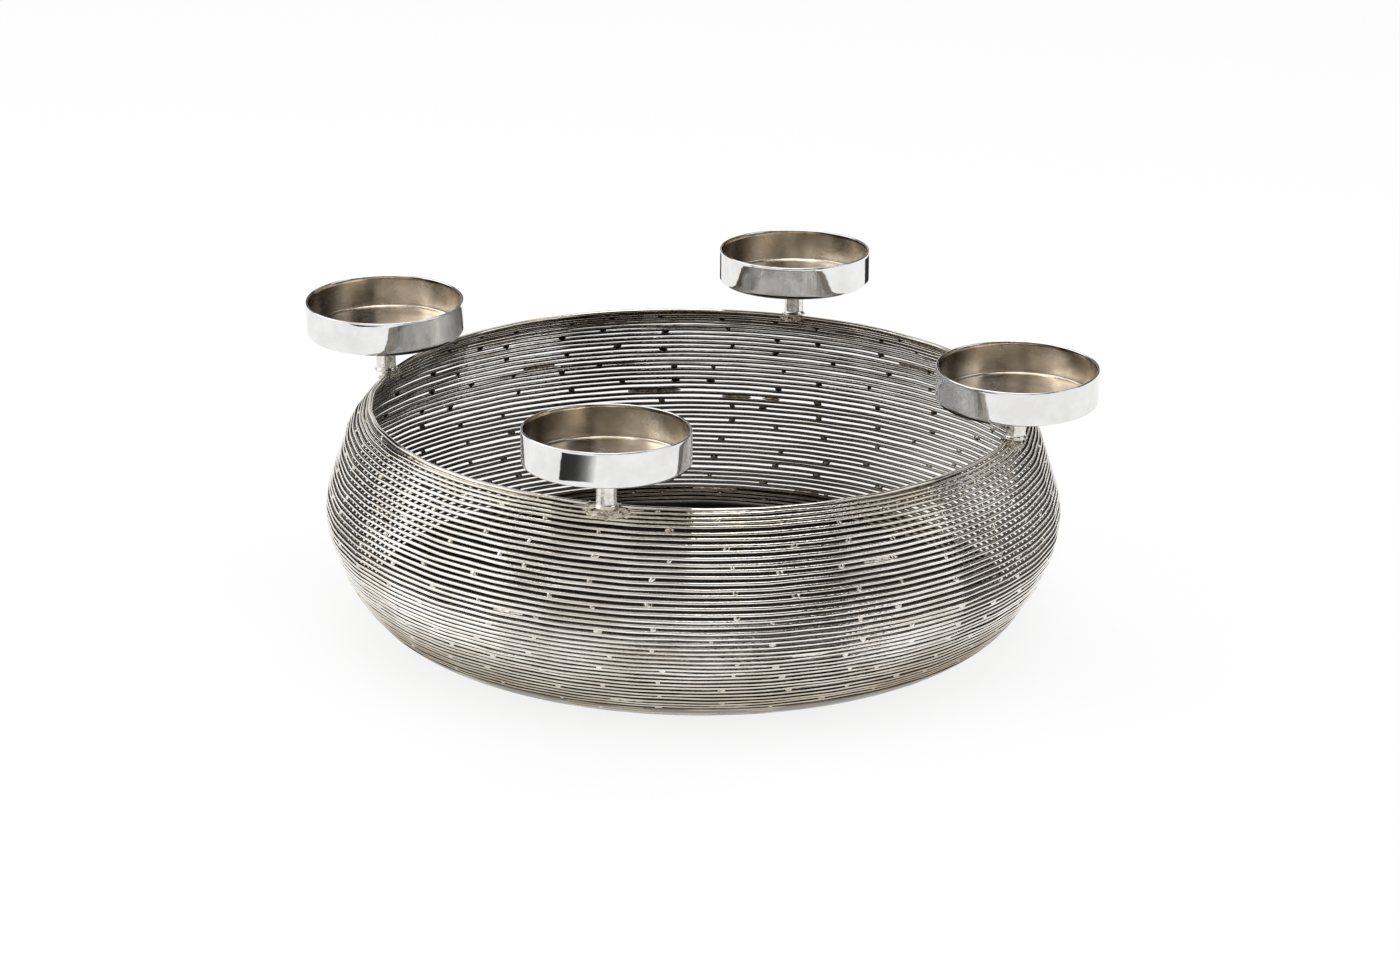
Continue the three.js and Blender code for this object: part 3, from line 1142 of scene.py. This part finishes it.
def direction(azimuth, elevation):
    """The way from the middle of the stage to an azimuth and elevation in degrees."""
    turn = math.radians(azimuth)
    lift = math.radians(elevation)
    return Vector(
        (math.cos(turn) * math.cos(lift), math.sin(turn) * math.cos(lift), math.sin(lift))
    )


def add_lamp(name, azimuth, elevation, distance, width, height, power):
    """A softbox aimed at the bowl's middle."""
    light = bpy.data.lights.new(name, "AREA")
    light.shape = "RECTANGLE"
    light.size = width
    light.size_y = height
    light.energy = power
    away = direction(azimuth, elevation)
    lamp = link_object(name, light)
    lamp.location = away * distance + Vector((0, 0, STAGE_MIDDLE))
    lamp.rotation_mode = "QUATERNION"
    lamp.rotation_quaternion = away.to_track_quat("Z", "Y")


def show_in_metal_only(card):
    """Keeps a card out of the camera's view, off plain surfaces and out of the shadows."""
    card.visible_camera = False
    card.visible_diffuse = False
    card.visible_shadow = False


def add_wall_panel(name, azimuth, width, low, high, colour):
    """A curved panel of one plain colour, round the set."""
    points = []
    for elevation in (low, high):
        for i in range(WALL_STEPS + 1):
            away = direction(azimuth + width * (i / WALL_STEPS - 0.5), elevation)
            points.append(away * WALL_DISTANCE + Vector((0, 0, STAGE_MIDDLE)))
    faces = [(i, i + 1, WALL_STEPS + 2 + i, WALL_STEPS + 1 + i) for i in range(WALL_STEPS)]
    mesh = bpy.data.meshes.new(name)
    mesh.from_pydata(points, [], faces)
    panel = link_object(name, mesh)
    material, tree, shader = new_material(name)
    shader.inputs["Base Color"].default_value = (0, 0, 0, 1)
    shader.inputs["Specular IOR Level"].default_value = 0.0
    shader.inputs["Emission Color"].default_value = (*colour, 1)
    shader.inputs["Emission Strength"].default_value = 1.0
    mesh.materials.append(material)
    show_in_metal_only(panel)


def add_floor_card(number, cup, reach, azimuth_greys):
    """A card on the table that shows in one cup's wall, its grey marked from point to point."""
    low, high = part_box(f"cup_{cup}")
    centre = (low + high) / 2
    points = []
    shades = []
    for azimuth, grey in azimuth_greys:
        turn = math.radians(azimuth)
        for distance in reach:
            x = centre.x + distance * math.cos(turn)
            y = centre.y + distance * math.sin(turn)
            points.append((x, y, CARD_HEIGHT))
            shades.append(grey)
    faces = [(2 * i, 2 * i + 1, 2 * i + 3, 2 * i + 2) for i in range(len(azimuth_greys) - 1)]
    name = f"studio_floor_card_{number}"
    mesh = bpy.data.meshes.new(name)
    mesh.from_pydata(points, [], faces)
    mark_points(mesh, SHADE, shades)
    card = link_object(name, mesh)
    material, tree, shader = new_material(name)
    glow = tree.nodes.new("ShaderNodeEmission")
    tree.links.new(marked(tree, SHADE), glow.inputs["Color"])
    tree.links.new(glow.outputs[0], tree.nodes["Material Output"].inputs["Surface"])
    mesh.materials.append(material)
    show_in_metal_only(card)


def add_light():
    set_world()
    for number, card in enumerate(FLOOR_CARDS):
        add_floor_card(number, *card)
    for lamp in LAMPS:
        add_lamp(*lamp)
    for panel in WALL_PANELS:
        add_wall_panel(*panel)


def add_camera():
    """The photograph's view: its distance, height, lens and slight roll."""
    camera = bpy.data.cameras.new("camera")
    camera.sensor_fit = "HORIZONTAL"
    camera.sensor_width = 36.0
    camera.lens = VIEW_LENS
    camera.clip_start = 0.05
    camera.clip_end = 60.0
    holder = link_object("camera", camera)
    lift = math.radians(VIEW_ELEVATION)
    back = Vector((0, -math.cos(lift), math.sin(lift)))
    rim_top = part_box("rim_ring")[1].z
    target = Vector((VIEW_ASIDE, 0, rim_top - VIEW_DROP))
    look = back.to_track_quat("Z", "Y").to_matrix().to_4x4()
    roll = Matrix.Rotation(math.radians(VIEW_ROLL), 4, "Z")
    holder.matrix_world = Matrix.Translation(target + back * VIEW_DISTANCE) @ look @ roll
    bpy.context.scene.camera = holder


add_floor()
add_light()
add_camera()
bpy.context.scene.view_settings.view_transform = "Standard"
